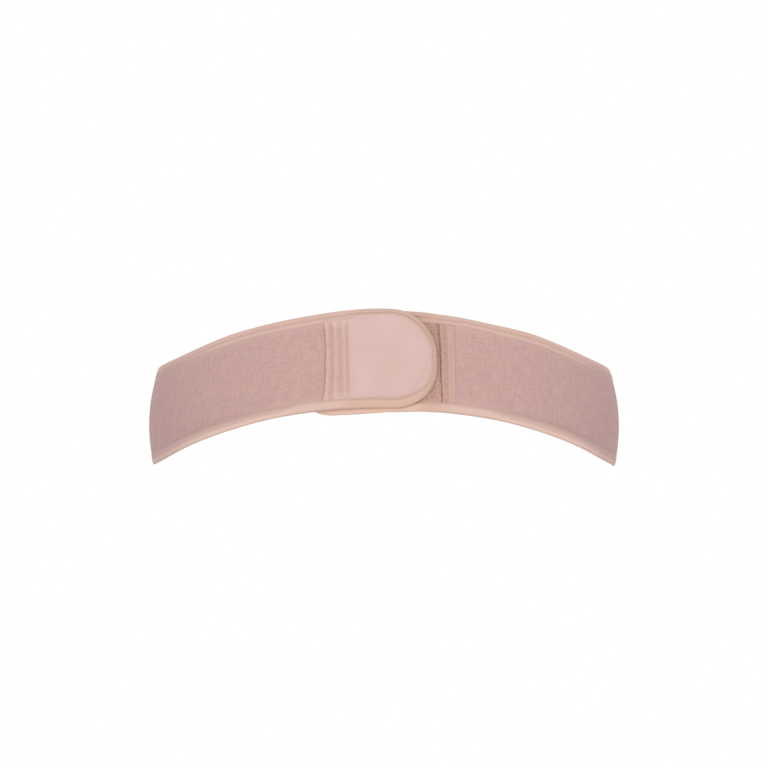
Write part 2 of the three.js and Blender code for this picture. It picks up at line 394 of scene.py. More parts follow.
def threads(starts, ends, radius, bow, dive):
    """Short bowed threads from needle hole to needle hole, each one closed."""
    share = np.linspace(0, 1, THREAD_RINGS)
    arch = np.sin(math.pi * share) ** THREAD_ARCH
    centre = starts[:, None] + (ends - starts)[:, None] * share[:, None]
    centre[..., 2] += arch * (bow + dive) - dive
    run = (ends - starts)[:, :2]
    run = run / np.linalg.norm(run, axis=1, keepdims=True)
    side = np.stack([-run[:, 1], run[:, 0], np.zeros(len(run))], axis=-1)
    angle = np.arange(THREAD_SIDES) * 2 * math.pi / THREAD_SIDES
    thick = radius * (THREAD_END + (1 - THREAD_END) * arch)[None, :, None, None]
    ring = np.cos(angle)[:, None] * side[:, None, None, :] + np.sin(angle)[:, None] * np.array([0, 0, 1])
    points = centre[:, :, None, :] + thick * ring
    index = np.arange(points[..., 0].size).reshape(points.shape[:3])
    around = np.concatenate([index, index[..., :1]], axis=-1)
    faces = np.concatenate([grid_faces(one) for one in around])

    # Two four-sided faces close each end of the six sides
    first, last = index[:, 0], index[:, -1]
    caps = [first[:, [0, 1, 2, 3]], first[:, [0, 3, 4, 5]], last[:, [3, 2, 1, 0]], last[:, [5, 4, 3, 0]]]
    return points.reshape(-1, 3), np.concatenate([faces, *caps])


def joined(parts):
    """Several lots of points and faces as one."""
    points, faces, count = [], [], 0
    for some_points, some_faces in parts:
        points.append(some_points)
        faces.append(some_faces + count)
        count += len(some_points)
    return np.concatenate(points), np.concatenate(faces)


def add_piece(name, shape, looks, nodes=(), marks=None, flat_uv=None):
    """Wraps a flat shape into the loop as a piece that rides on the belt."""
    flat, faces = shape
    points = place(flat)
    mesh = bpy.data.meshes.new(name)
    mesh.from_pydata(points.tolist(), [], faces.tolist())
    mesh.shade_smooth()
    mesh.set_sharp_from_angle(angle=math.radians(SHARP_ANGLE))
    corners = np.empty(len(mesh.loops), np.int32)
    mesh.loops.foreach_get("vertex_index", corners)
    uv = MM * (flat[:, :2] if flat_uv is None else flat_uv)
    mesh.uv_layers.new(name="flat").data.foreach_set("uv", uv[corners].astype(np.float32).ravel())
    for mark, values in (marks or {}).items():
        mesh.attributes.new(mark, "FLOAT", "POINT").data.foreach_set("value", values.astype(np.float32))
    mesh.materials.append(looks)
    piece = bpy.data.objects.new(name, mesh)
    bpy.context.scene.collection.objects.link(piece)
    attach(piece, "root")
    if nodes:
        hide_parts(*nodes)
    return piece


# Tape folded over an edge


class Route:
    """A fold's path in the flat layout, of straight runs and left turns, with the cloth on its left."""

    def __init__(self, start, heading, runs):
        self.lengths, self.bends = zip(*runs)
        self.starts = [np.array(start, float)]
        self.headings = [heading]
        for length, bend in runs:
            spot, turned = self.travel(self.starts[-1], self.headings[-1], bend, np.array(length))
            self.starts.append(spot)
            self.headings.append(float(turned))
        self.length = sum(self.lengths)

    @staticmethod
    def travel(start, heading, bend, far):
        turned = heading + bend * far
        if bend:
            x = (np.sin(turned) - math.sin(heading)) / bend
            y = (math.cos(heading) - np.cos(turned)) / bend
        else:
            x = far * math.cos(heading)
            y = far * math.sin(heading)
        return start + np.stack([x, y], axis=-1), turned

    def at(self, far, inset):
        """Along and across at a distance down the route, an inset to its left."""
        ends = np.cumsum(self.lengths)
        leg = np.clip(np.searchsorted(ends, far, side="left"), 0, len(ends) - 1)
        spots = np.zeros(far.shape + (2,))
        turned = np.zeros(far.shape)
        for i, bend in enumerate(self.bends):
            here = leg == i
            passed = far[here] - (ends[i] - self.lengths[i])
            spots[here], turned[here] = self.travel(self.starts[i], self.headings[i], bend, passed)
        return spots[..., 0] - np.sin(turned) * inset, spots[..., 1] + np.cos(turned) * inset


def round_end_route(seam, end):
    """The fold's path round a tab or landing, from its seam, round its free end and back."""
    towards = math.copysign(1, end - seam)
    straight = (abs(end - seam) - CORNER, 0)
    turn = (CORNER * math.pi / 2, 1 / CORNER)
    rise = (STRAP_HEIGHT - 2 * CORNER, 0)
    heading = 0 if towards > 0 else math.pi
    return Route((seam, -towards * HALF_STRAP), heading, [straight, turn, rise, turn, straight])


@dataclass
class Tape:
    """Tape folded over an edge and sewn down with one row of stitches.

    By share of the route, its rows give its reach, its margin past the stitches, half its thickness, how
    far its fold is drawn in from the strap's edge, its puff, how dark the painted shade along the line of
    the stitches and at the fold is, and its colours: of its body, of its lip and of its very edge, with
    where the lip's colour begins, how soon it is reached and how far in the edge's colour fades. Its
    colours hold painted light and shade too: darker round the sides and at the tab's free end, a painted
    highlight on the lower tape's puff, and lighter where the tab's shade falls.
    """

    route: Route
    rows: list
    seed: int

    def row(self, column, far):
        return look_up(self.rows, column, far / self.route.length)

    def spot(self, far, inset):
        """Along and across at a distance down the tape, an inset from its fold."""
        return self.route.at(far, inset + self.row("drawn_in", far))

    def uneven(self, far, size, height, seed):
        """Unevenness that dies away at both ends, where the tape runs on into the next."""
        to_end = np.minimum(far, self.route.length - far)
        return wobble(far, size, height, self.seed + seed) * ease(to_end / WAVES_FADE)

    def reach(self, far):
        return self.row("reach", far) + self.uneven(far, **REACH_WAVES)

    def stitch(self, far):
        """How far in from the fold the stitches run."""
        even = self.reach(far) - self.row("margin", far)
        return even + self.uneven(far, **STITCH_WAVES)

    def over_joins(self, far, inset):
        """How far the tape's lip is lifted where it runs over a join strip."""
        along, _ = self.spot(far, inset)
        lift = 0
        for low, high in ((GIRTH + TAB_STRIP[0], GIRTH + TAB_STRIP[1]), LANDING_STRIP):
            inside = np.minimum(along - low, high - along) + JOIN_ROOM
            lift = lift + ease(inside / JOIN_RAMP + 1)
        past = self.reach(far) - TUCK - LIP_LIFT
        return lift * ease((inset - past) / LIP_LIFT) * (PRESSED + CLEAR - UNDER)

    def height(self, far, inset, side):
        """How high the tape's face lies over the strap's middle surface, on either side."""
        reach, stitch, half = self.reach(far), self.stitch(far), self.row("half", far)
        body = np.clip((inset - half) / (stitch - half), 0, 1)
        puff = self.row("puff", far) * np.where(side > 0, 1, INNER_PUFF) * np.sin(math.pi * body)
        slope = ease((inset - stitch) / LIP_SLOPE + 1)
        hole = 0.5 + 0.5 * np.cos(2 * math.pi * far / STITCH)
        deep = PINCH * (PINCH_BETWEEN + (1 - PINCH_BETWEEN) * hole)
        pinch = deep * np.exp(-(((inset - stitch) / PINCH_WIDTH) ** 2))
        height = half + puff - (half - LIP) * slope - pinch
        height = height + self.uneven(far, **PUFF_WAVES) * body * (1 - slope)
        height = height + np.where(side > 0, self.over_joins(far, inset), 0)
        edge = np.clip((inset - reach) / LIP_ROUND + 1, 0, 1)
        return UNDER + (height - UNDER) * np.sqrt(1 - LIP_CLOSED * edge**2)

    def colours(self, far, inset):
        """The tape's colours across its width: its body, then its lip, then the look of the next cloth."""
        body, lip, edge = [self.row(name, far) for name in ("colour", "lip", "edge")]
        to_lip = ease((inset - self.row("lip_from", far)) / self.row("lip_over", far))
        to_edge = ease((inset - self.reach(far)) / self.row("fade", far) + 1)
        colour = body + (lip - body) * to_lip[..., None]
        return colour + (edge - colour) * to_edge[..., None]

    def shape(self):
        """The folded tape, and for its material the marks and the flat places of its points."""
        steps = np.arange(0, self.route.length - TAPE_STEP / 2, TAPE_STEP)
        far = np.append(steps, self.route.length)[:, None]
        half = self.row("half", far)
        face = half + (self.reach(far) - half) * np.linspace(1, 0, FACE_POINTS, endpoint=False)
        angle = np.linspace(-math.pi / 2, math.pi / 2, FOLD_POINTS)
        fold = half * (1 - np.cos(angle))
        inset = np.concatenate([face, fold, face[:, ::-1]], axis=1)
        far = far * np.ones_like(inset)

        # Each point of the section lies on the inner side, on the fold or on the outside
        side = np.repeat([-1.0, 0.0, 1.0], [FACE_POINTS, FOLD_POINTS, FACE_POINTS])
        bend = np.concatenate([np.full(FACE_POINTS, -math.pi / 2), angle, np.full(FACE_POINTS, math.pi / 2)])
        on_fold = side == 0
        out = np.where(on_fold, half * np.sin(bend), side * self.height(far, inset, side))
        under_inset = np.where(on_fold, half - (half - TAPE_CLOTH) * np.cos(bend), inset)
        under_out = UNDER * np.where(on_fold, np.sin(bend), side) * np.ones_like(inset)
        outer = flat_points(*self.spot(far, inset), out)
        inner = flat_points(*self.spot(far, under_inset), under_out)

        # Painted shade along the stitches and at the fold
        from_stitch = inset - self.stitch(far)
        sewn = np.where(on_fold, 0, self.row("dark", far) * np.exp(-((from_stitch / SEWN_WIDTH) ** 2)))
        fold = self.row("fold", far) * ease(1 - inset / FOLD_SHADE)
        red, green, blue = np.moveaxis(albedo(self.colours(far, inset)), -1, 0)
        marks = both_faces(sewn=sewn, fold=fold, red=red, green=green, blue=blue)
        width = half * bend + np.where(on_fold, 0, side * (inset - half))
        flat_uv = np.tile(np.stack([far.ravel(), width.ravel()], axis=-1), (2, 1))
        return closed_sheet(outer, inner), marks, flat_uv

    def stitches(self):
        """The row of stitches, on the outside and on the inner side."""
        starts = np.arange((1 - STITCH_SHARE) / 2 * STITCH, self.route.length - STITCH, STITCH)
        rows = []
        for side in (OUTSIDE, INSIDE):
            ends = []
            for far in (starts, starts + STITCH * STITCH_SHARE):
                inset = self.stitch(far)
                out = side * (self.height(far, inset, side * np.ones_like(far)) + THREAD_ABOVE)
                ends.append(flat_points(*self.spot(far, inset), out))
            rows.append(threads(*ends, THREAD, side * THREAD_BOW, side * TAPE_DIVE))
        return joined(rows)


# Stretches of the tape, as they follow each other on its routes
JOIN_TOP = dict(
    reach=7.5, margin=3.2, half=HALF_FOLD, drawn_in=0, puff=0.2, dark=0.25, fold=0,
    colour=BEIGE, lip=ROSY, edge=ELASTIC, lip_from=4.5, lip_over=1, fade=1.3,
)
FRONT_TOP = JOIN_TOP | dict(reach=BAND_TOP_REACH, margin=3.6)
NARROW_TOP = JOIN_TOP | dict(reach=6.9, margin=3.3, lip_from=3.8)
# Round the sides the tape's colours are darker: painted shade
SIDE_TOP = FRONT_TOP | dict(
    margin=4, half=HALF_SIDE_FOLD, puff=0.05, dark=0.1, colour=DUSKY, lip=DIM, edge=DIM,
    lip_from=2.4, lip_over=4.5,
)
TURN_TOP = SIDE_TOP | dict(drawn_in=1.6)
FRONT_BOTTOM = dict(
    reach=BAND_BOTTOM_REACH, margin=0.9, half=HALF_FOLD, drawn_in=0, puff=0.3, dark=0.02,
    fold=0.4, colour=BLUSH, lip=ROSE, edge=ELASTIC, lip_from=4, lip_over=4, fade=2,
)
# More painted shade at the fold by the seam
SEAM_BOTTOM = FRONT_BOTTOM | dict(fold=0.65)
# A painted highlight along the lower tape's crest
CREST_BOTTOM = FRONT_BOTTOM | dict(
    colour=CREST, edge=FAR_ELASTIC, lip_from=2.2, lip_over=2, fade=4,
)
SIDE_BOTTOM = CREST_BOTTOM | dict(
    margin=3, half=HALF_SIDE_FOLD, puff=0.05, dark=0.05, colour=DUSKY, lip=DIM, edge=DIM,
    lip_over=3.2,
)
TURN_BOTTOM = SIDE_BOTTOM | dict(drawn_in=1.8)
TAB_BOTTOM = FRONT_BOTTOM | dict(
    margin=1.6, puff=0.4, dark=0.3, fold=0.1, colour=PEACH, lip=BUFF, edge=BUFF, lip_over=3,
)
# Round the tab's free end: darker colours and more shade at the fold, painted shade where it turns from the
# light
TAB_ROUND = TAB_BOTTOM | dict(
    reach=TAB_END_REACH, margin=0.4, puff=0.3, dark=0.03, fold=0.8, colour=SHADED_TAN, lip=SHADED_TAN,
    edge=FACE, lip_from=2.8, lip_over=1, fade=0.9,
)
TAB_TOP = TAB_ROUND | dict(reach=TAB_TOP_REACH, margin=0.6, dark=0.3, fold=0.1, colour=BUFF, lip=BUFF)
TAB_CORNER = TAB_TOP | dict(
    reach=TAB_CORNER_REACH, margin=2.6, fold=0, colour=BEIGE, lip=FACE, lip_from=4.2,
)
LANDING_TOP = FRONT_TOP | dict(reach=LANDING_TOP_REACH, dark=0.1, colour=BUFF, lip=BUFF, edge=PILE)
LANDING_BOTTOM = TAB_BOTTOM | dict(reach=LANDING_BOTTOM_REACH, margin=0.9, dark=0.15)
# In the tab's shade: painted light in its lighter colours, and painted shade at its fold
LANDING_SHADED = LANDING_BOTTOM | dict(fold=0.3, colour=PAINTED_LIGHT_PEACH, lip=PAINTED_LIGHT_PEACH, edge=PAINTED_LIGHT_PEACH)


def route_rows(*stretches):
    return [dict(at=share, **stretch) for share, stretch in stretches]


def make_tapes():
    upper = Route((BAND_TO, HALF_STRAP), math.pi, [(BAND_TO - TAPE_SEAM, 0)])
    lower = Route((TAPE_SEAM, -HALF_STRAP), 0, [(BAND_TO - TAPE_SEAM, 0)])
    upper_rows = route_rows(
        (0, JOIN_TOP), (0.03, FRONT_TOP), (0.1, FRONT_TOP), (0.185, SIDE_TOP), (0.26, SIDE_TOP),
        (0.38, FRONT_TOP), (0.62, FRONT_TOP), (0.74, SIDE_TOP), (0.775, TURN_TOP), (0.795, TURN_TOP),
        (0.825, SIDE_TOP), (0.9, FRONT_TOP), (0.955, FRONT_TOP), (0.978, NARROW_TOP), (0.988, NARROW_TOP),
        (1, JOIN_TOP),
    )
    lower_rows = route_rows(
        (0, FRONT_BOTTOM), (0.02, FRONT_BOTTOM), (0.05, CREST_BOTTOM), (0.1, CREST_BOTTOM),
        (0.18, SIDE_BOTTOM), (0.205, TURN_BOTTOM), (0.225, TURN_BOTTOM), (0.26, SIDE_BOTTOM),
        (0.38, FRONT_BOTTOM), (0.62, FRONT_BOTTOM), (0.72, SIDE_BOTTOM), (0.755, TURN_BOTTOM),
        (0.775, TURN_BOTTOM), (0.8, SIDE_BOTTOM), (0.9, CREST_BOTTOM), (0.95, CREST_BOTTOM),
        (0.97, FRONT_BOTTOM), (0.985, SEAM_BOTTOM), (1, SEAM_BOTTOM),
    )
    tab_rows = route_rows(
        (0, SEAM_BOTTOM), (0.07, TAB_BOTTOM), (0.3, TAB_BOTTOM), (0.42, TAB_ROUND), (0.6, TAB_ROUND),
        (0.72, TAB_TOP), (0.9, TAB_TOP), (0.955, TAB_CORNER), (0.966, JOIN_TOP), (1, JOIN_TOP),
    )
    landing_rows = route_rows(
        (0, JOIN_TOP), (0.06, LANDING_TOP), (0.3, LANDING_TOP), (0.6, LANDING_SHADED),
        (0.87, LANDING_SHADED), (0.93, LANDING_BOTTOM), (1, FRONT_BOTTOM),
    )
    return dict(
        band_top=Tape(upper, upper_rows, seed=11),
        band_bottom=Tape(lower, lower_rows, seed=21),
        tab=Tape(round_end_route(TAB_FROM, TAB_TO), tab_rows, seed=31),
        landing=Tape(round_end_route(TAPE_SEAM, LANDING_END), landing_rows, seed=41),
    )


# Cloth


def band_shape(upper, lower):
    """The elastic between its upper and its lower tape."""
    columns = int((BAND_TO - BAND_FROM) / BAND_STEP)
    along = np.linspace(BAND_FROM, BAND_TO, columns)[:, None]
    from_top = upper.row("drawn_in", BAND_TO - along)
    from_bottom = lower.row("drawn_in", np.maximum(along - TAPE_SEAM, 0))
    share = np.linspace(0, 1, BAND_ROWS)[None, :]
    across = -CLOTH_TOP + from_bottom + (2 * CLOTH_TOP - from_top - from_bottom) * share
    ripple = 0
    edges = [
        (HALF_STRAP - from_top - BAND_TOP_REACH - across, 1),
        (across + HALF_STRAP - from_bottom - BAND_BOTTOM_REACH, 2),
    ]
    for distance, seed in edges:
        fade = ease(distance / PUCKER_RISE) * np.exp(-np.maximum(distance, 0) / PUCKER_FADE)
        ripple = ripple + fade * wobble(along, **PUCKERS, seed=seed)
    from_joins = np.minimum(along - LANDING_STRIP[1], GIRTH + TAB_STRIP[0] - along)
    ripple = ripple * ease(from_joins / PUCKER_FROM_JOIN)
    turn = turn_at(azimuth_at(along))
    before_back = ease((BOTH_TO - turn) / BOTH_FADE)
    # Its stretch and painted shade round the sides, gone again before the back
    around = ease((turn - STRETCH_SHADE_FROM) / STRETCH_SHADE_OVER) * before_back
    # Painted light near the tapes, against the shade they cast
    gathered = [ease(1 - np.maximum(distance, 0) / TAPE_LIGHT_REACH) for distance, seed in edges]
    # Painted shade just above the lower tape round the sides
    shaded = gathered[1] * ease((turn - SHADE_FROM) / SHADE_OVER) * before_back
    # Painted shade, darker towards the lower edge and just above the lower tape
    stretch = around * (1 - LOWER_EDGE_SHADE * across / HALF_STRAP) + SHADED_STRETCH * shaded
    marks = both_faces(stretch=stretch, gathered=gathered[0] + gathered[1] - shaded)
    return flat_sheet(along, across, ripple + HALF_CLOTH, ripple - HALF_CLOTH), marks


def panel_grid(seam, end):
    """A panel's grid from its seam to its round end, where its columns crowd."""
    towards = math.copysign(1, end - seam)
    cut_end = end - towards * FOLD_ROOM
    share = np.sin(np.linspace(0, math.pi / 2, PANEL_COLUMNS))[:, None]
    along = seam + (cut_end - seam) * share
    to_end = np.abs(cut_end - along)
    radius = CORNER - FOLD_ROOM
    inside = np.clip(radius - to_end, 0, radius)
    cut = radius - np.sqrt(radius**2 - inside**2)
    across = (CLOTH_TOP - cut) * np.linspace(-1, 1, PANEL_ROWS)[None, :]
    if towards < 0:
        along, across = along[::-1], across[::-1]
    return along * np.ones_like(across), across


def from_edge(along, across, end, towards):
    """How far a place on a round-ended panel lies in from its folded edge."""
    x = towards * (along - end) + CORNER
    y = np.abs(across) - (HALF_STRAP - CORNER)
    outside = np.hypot(np.maximum(x, 0), np.maximum(y, 0))
    return CORNER - outside - np.minimum(np.maximum(x, y), 0)


def tab_shape():
    """The tab, with a mark for painted shade on its face at its round end."""
    along, across = panel_grid(TAB_FROM, TAB_TO)
    inside = from_edge(along, across, TAB_TO, 1)
    edge = TAB_STRIP[1] + FACE_FROM + TAB_JOIN.slant[1] * across / STRAP_HEIGHT
    past_join = along - GIRTH - edge
    top_reach = TAB_TOP_REACH + (TAB_CORNER_REACH - TAB_TOP_REACH) * ease(1 - past_join / CORNER_OVER)
    reach = top_reach + (BAND_BOTTOM_REACH - top_reach) * ease(0.5 - across / REACH_OVER)
    clear = ease((inside - reach) / SWELL_OVER)
    face = ease(past_join / FACE_OVER)
    swell = face * clear * (TAB_SWELL + TAB_CROWN * (1 - (across / HALF_STRAP) ** 2))
    round_end = ease((along - TAB_TO) / CORNER + RIM_FROM)
    # Painted shade on the face by the round end
    rim = round_end * ease(1 - (inside - TAB_END_REACH) / RIM_SHADE_WIDTH)
    return flat_sheet(along, across, HALF_CLOTH + swell, -HALF_CLOTH), both_faces(rim=rim)


def landing_shape():
    """The landing, whose pile fills the room under the tab."""
    along, across = panel_grid(LANDING_SEAM, LANDING_END)
    under_tab = ease((from_edge(along, across, TAB_END, 1) + PILE_PAST_TAB) / PILE_RAMP)
    past_tape = ease((from_edge(along, across, LANDING_END, -1) - LANDING_BOTTOM_REACH) / PILE_RAMP)
    return flat_sheet(along, across, HALF_CLOTH + PILE_RISE * under_tab * past_tape, -HALF_CLOTH)


def landing_loops():
    """The pile where the landing shows beside the tab."""
    random = np.random.default_rng(seed=5)
    along = random.uniform(*LOOPS_ALONG, LOOPS)
    across = random.uniform(LANDING_JOIN.low, LANDING_JOIN.high, LOOPS)
    angle = random.uniform(0, math.pi, LOOPS)
    length = random.uniform(*LOOP_LENGTHS, LOOPS)
    step = np.stack([np.cos(angle), np.sin(angle), 0 * angle], axis=-1) * length[:, None]
    start = flat_points(along, across, HALF_CLOTH)
    return threads(start, start + step, **LOOP)


def hook_shape():
    """The hook patch under the tab."""
    along = GIRTH + np.linspace(*HOOK_PATCH, PANEL_ROWS)[:, None]
    across = HOOK_PATCH_HEIGHT / 2 * np.linspace(-1, 1, PANEL_ROWS)[None, :]
    side = np.minimum(along - along[0], along[-1] - along)
    edge = np.minimum(side, HOOK_PATCH_HEIGHT / 2 - np.abs(across))
    swell = HOOK_SWELL * ease(edge / HOOK_SWELL_OVER)
    return flat_sheet(along, across, -HALF_CLOTH - GAP, -HALF_CLOTH - GAP - HOOK_TAPE - swell)


def hook_rows():
    """The hooks on the patch's face, which grip the landing's pile."""
    columns = np.linspace(*HOOK_PATCH, HOOKS + 2)[1:-1]
    along, across = np.meshgrid(columns, np.linspace(-0.5, 0.5, HOOKS + 2)[1:-1])
    base = -HALF_CLOTH - GAP - HOOK_TAPE - HOOK_SWELL
    start = flat_points(GIRTH + along.ravel(), HOOK_PATCH_HEIGHT * across.ravel(), base)
    return threads(start, start + np.array([0, HOOK_LENGTH, 0]), **HOOK)


# Join strips


@dataclass
class Strip:
    """A strip sewn over a seam, with its relief, run in under the tape at both ends.

    Its rows give its top and its tone, by length along the strap from the front centre. Its tones hold
    painted light and shade as well as the cloth's own colour, with a painted shadow line at tone 0 along
    its first edge. Its colours are for tone 0, and for tone 1 on its first and its last edge. Its sewing
    tells, for each side, between which lengths a double zigzag swings and where straight rows run.
    """

    name: str
    turn: float  # where the front centre is on the strip's layer
    low: float
    high: float
    slant: tuple  # how far its first and last edge lean, from the strap's lower to its upper edge
    bow: float  # how far its first edge bows back at the strap's edges
    rows: list
    colours: tuple
    upper_shade: float
    end_light: float
    sewing: list
    seed: int

    def __post_init__(self):
        self.first = self.rows[0]["at"]
        self.last = self.rows[-1]["at"]

    def lay(self, at, across, above):
        """A place on the strip in the flat layout."""
        share = (at - self.first) / (self.last - self.first)
        lean = (self.slant[0] + (self.slant[1] - self.slant[0]) * share) * across / STRAP_HEIGHT
        uneven = wobble(across, **JOIN_EDGE_WAVES, seed=self.seed) - self.bow * (across / HALF_STRAP) ** 2
        top = look_up(self.rows, "top", at) + wobble(across, **JOIN_TOP_WAVES, seed=self.seed + 1)
        free = ease(np.minimum(across - self.low, self.high - across) / PRESSED_OVER)
        top = np.minimum(top, PRESSED) + np.maximum(top - PRESSED, 0) * free
        spot = self.turn + at + lean + uneven * (1 - share)
        return flat_points(spot, across, np.maximum(top, UNDER + CLEAR) + above)

    def shape(self):
        """The strip, and for its material the flat places of its points."""
        at = np.linspace(self.first, self.last, int((self.last - self.first) / STRIP_STEP))[:, None]
        across = np.linspace(self.low - TUCK, self.high + TUCK, STRIP_ROWS)[None, :]
        outer = self.lay(at, across, 0)
        inner = outer.copy()
        inner[..., 2] = UNDER
        flat_uv = flat_points(at, across, 0)[..., :2].reshape(-1, 2)
        return closed_sheet(outer, inner), np.tile(flat_uv, (2, 1))

    def sew(self, side, *ends):
        """Threads from place to place on the strip, or on the inner side of the cloth."""
        if side == OUTSIDE:
            spots = [self.lay(at, across, THREAD_ABOVE) for at, across in ends]
        else:
            under = -HALF_CLOTH - THREAD_ABOVE
            spots = [flat_points(self.turn + at, across, under) for at, across in ends]
        return threads(*spots, THREAD, side * THREAD_BOW, side * JOIN_DIVE)

    def stitches(self):
        lots = []
        for side, swing, straight in self.sewing:
            across = np.arange(self.low, self.high - ZIGZAG, ZIGZAG)
            even = np.arange(len(across)) % 2 == 0
            for first, second in (swing, swing[::-1]):
                start = (np.where(even, first, second), across)
                lots.append(self.sew(side, start, (np.where(even, second, first), across + ZIGZAG)))
            across = np.arange(self.low, self.high - STITCH, STITCH)
            for row in straight:
                at = np.full_like(across, row)
                lots.append(self.sew(side, (at, across), (at, across + STITCH * STITCH_SHARE)))
        return joined(lots)


TAB_JOIN = Strip(
    name="tab_join",
    turn=GIRTH,
    low=-HALF_STRAP + BAND_BOTTOM_REACH,
    high=HALF_STRAP - BAND_TOP_REACH,
    slant=(-1.6, -3.2),
    bow=3,
    rows=table(
        "at top tone",
        (TAB_STRIP[0], 0.95, 0), (-43.4, 1.75, 0.42), (-42.8, 2.05, 0.84),
        (-41.6, 1.95, 0.98), (-40.5, 1.65, 0.92), (-37.8, 1.65, 0.82),
        (-37.2, 1.95, 0.8), (-36.1, 1.95, 1.05), (-34.6, 1.7, 0.88),
        (-32.6, 1.7, 0.72), (-30.9, 1.75, 0.82), (-29.3, 1.9, 1.06),
        (-28.3, 1.6, 0.86), (-27.5, 1.2, 0.74), (TAB_STRIP[1], 0.85, 0.82),
    ),
    colours=((150, 111, 104), (222, 186, 175), (222, 187, 176)),
    upper_shade=0,
    end_light=0.45,
    sewing=[(OUTSIDE, (-40.6, -37.4), [-36.3, -29.6])],
    seed=51,
)
LANDING_JOIN = Strip(
    name="landing_join",
    turn=0,
    low=-HALF_STRAP + LANDING_BOTTOM_REACH,
    high=HALF_STRAP - LANDING_TOP_REACH,
    slant=(-1, 1.4),
    bow=0,
    rows=table(
        "at top tone",
        (LANDING_STRIP[0], 0.9, 0), (43, 1.25, 0.24), (43.6, 1.95, 0.78),
        (44.2, 2.05, 1), (45.2, 1.8, 0.78), (47.8, 1.75, 0.76),
        (48.9, 1.95, 0.98), (49.9, 1.75, 1), (51.4, 1.7, 0.82),
        (52.9, 1.7, 1.02), (53.7, 1.5, 0.94), (LANDING_STRIP[1], 0.85, 0.84),
    ),
    colours=((140, 100, 90), (214, 173, 154), (216, 180, 170)),
    upper_shade=0.13,
    end_light=0,
    sewing=[
        (OUTSIDE, (49.9, 53), [48.9]),
        (INSIDE, (51.6, 54.8), [48.9, 43.6]),
    ],
    seed=61,
)


# Materials


def albedo(colours):
    """The albedo that shows as these 8-bit colours on the front."""
    return ((np.array(colours) / 255 + 0.055) / 1.055) ** 2.4 / FRONT_LIGHT


def seen(*colour):
    return (*albedo(colour), 1.0)


class Looks:
    """A procedural cloth, whose nodes are made by short calls, and its colour so far."""

    def __init__(self, name, sheen=0.1, specular=0.2):
        self.material = bpy.data.materials.new(name)
        self.material.use_nodes = True
        self.nodes = self.material.node_tree.nodes
        self.links = self.material.node_tree.links
        self.surface = self.nodes["Principled BSDF"].inputs
        self.surface["Specular IOR Level"].default_value = specular
        self.surface["Sheen Weight"].default_value = sheen
        self.surface["Sheen Roughness"].default_value = SHEEN_ROUGHNESS
        self.flat = self.node("UVMap", uv_map="flat").outputs[0]
        self.along, self.across, _ = self.node("SeparateXYZ", {0: self.flat}).outputs
        self.colour = None

    def node(self, kind, values=None, **settings):
        made = self.nodes.new("ShaderNode" + kind)
        for key, value in settings.items():
            setattr(made, key, value)
        for key, value in (values or {}).items():
            if isinstance(value, bpy.types.NodeSocket):
                self.links.new(value, made.inputs[key])
            else:
                made.inputs[key].default_value = value
        return made

    def mark(self, name):
        return self.node("Attribute", attribute_name=name).outputs["Fac"]

    def math(self, operation, a, b=0.0):
        return self.node("Math", {0: a, 1: b}, operation=operation).outputs[0]

    def times(self, a, b):
        return self.math("MULTIPLY", a, b)

    def plus(self, a, b):
        return self.math("ADD", a, b)

    def wave(self, value, pitch, kind="SINE"):
        return self.math(kind, self.times(value, 2 * math.pi / (MM * pitch)))

    def weave(self, pitch_along, pitch_across):
        """Plain weave: threads that pass over and under by turns."""
        return self.times(self.wave(self.along, pitch_along), self.wave(self.across, pitch_across))

    def spread(self, value, low, high, to_low=0.0, to_high=1.0):
        values = {"Value": value, "From Min": low, "From Max": high, "To Min": to_low, "To Max": to_high}
        return self.node("MapRange", values).outputs[0]

    def noise(self, length, height, detail=2.0, layer=0.0):
        """Noise whose grain is so long along the cloth and so high across it."""
        values = {"Vector": self.flat, "Location": (0, 0, layer)}
        values["Scale"] = (1 / (MM * length), 1 / (MM * height), 1)
        spot = self.node("Mapping", values).outputs[0]
        return self.node("TexNoise", {"Vector": spot, "Scale": 1.0, "Detail": detail}).outputs[0]

    def ramp(self, value, stops):
        """Starts the colour with a run of colours."""
        node = self.node("ValToRGB", {0: value})
        elements = node.color_ramp.elements
        while len(elements) < len(stops):
            elements.new(0.5)
        for element, (position, colour) in zip(elements, stops):
            element.position = position
            element.color = seen(*colour)
        self.colour = node.outputs[0]

    def blend(self, share, value, kind="MIX"):
        node = self.node("Mix", {0: share, 6: self.colour, 7: value}, data_type="RGBA", blend_type=kind)
        self.colour = node.outputs[2]

    def mix(self, share, to):
        """Turns the colour into another one by a share."""
        self.blend(share, seen(*to))

    def tint(self, value, span, to, most=1.0):
        """The same, at most by a share, as a value runs over a span."""
        self.mix(self.spread(value, *span, 0, most), to)

    def done(self, grain, height, roughness, depth):
        """The finished material, with its roughness from low to high grain, and the depth of its bump."""
        self.links.new(self.colour, self.surface["Base Color"])
        self.links.new(self.spread(grain, *GRAIN, *roughness), self.surface["Roughness"])
        bump = self.node("Bump", {"Height": height, "Distance": MM * depth, "Strength": BUMP_STRENGTH})
        self.links.new(bump.outputs[0], self.surface["Normal"])
        return self.material


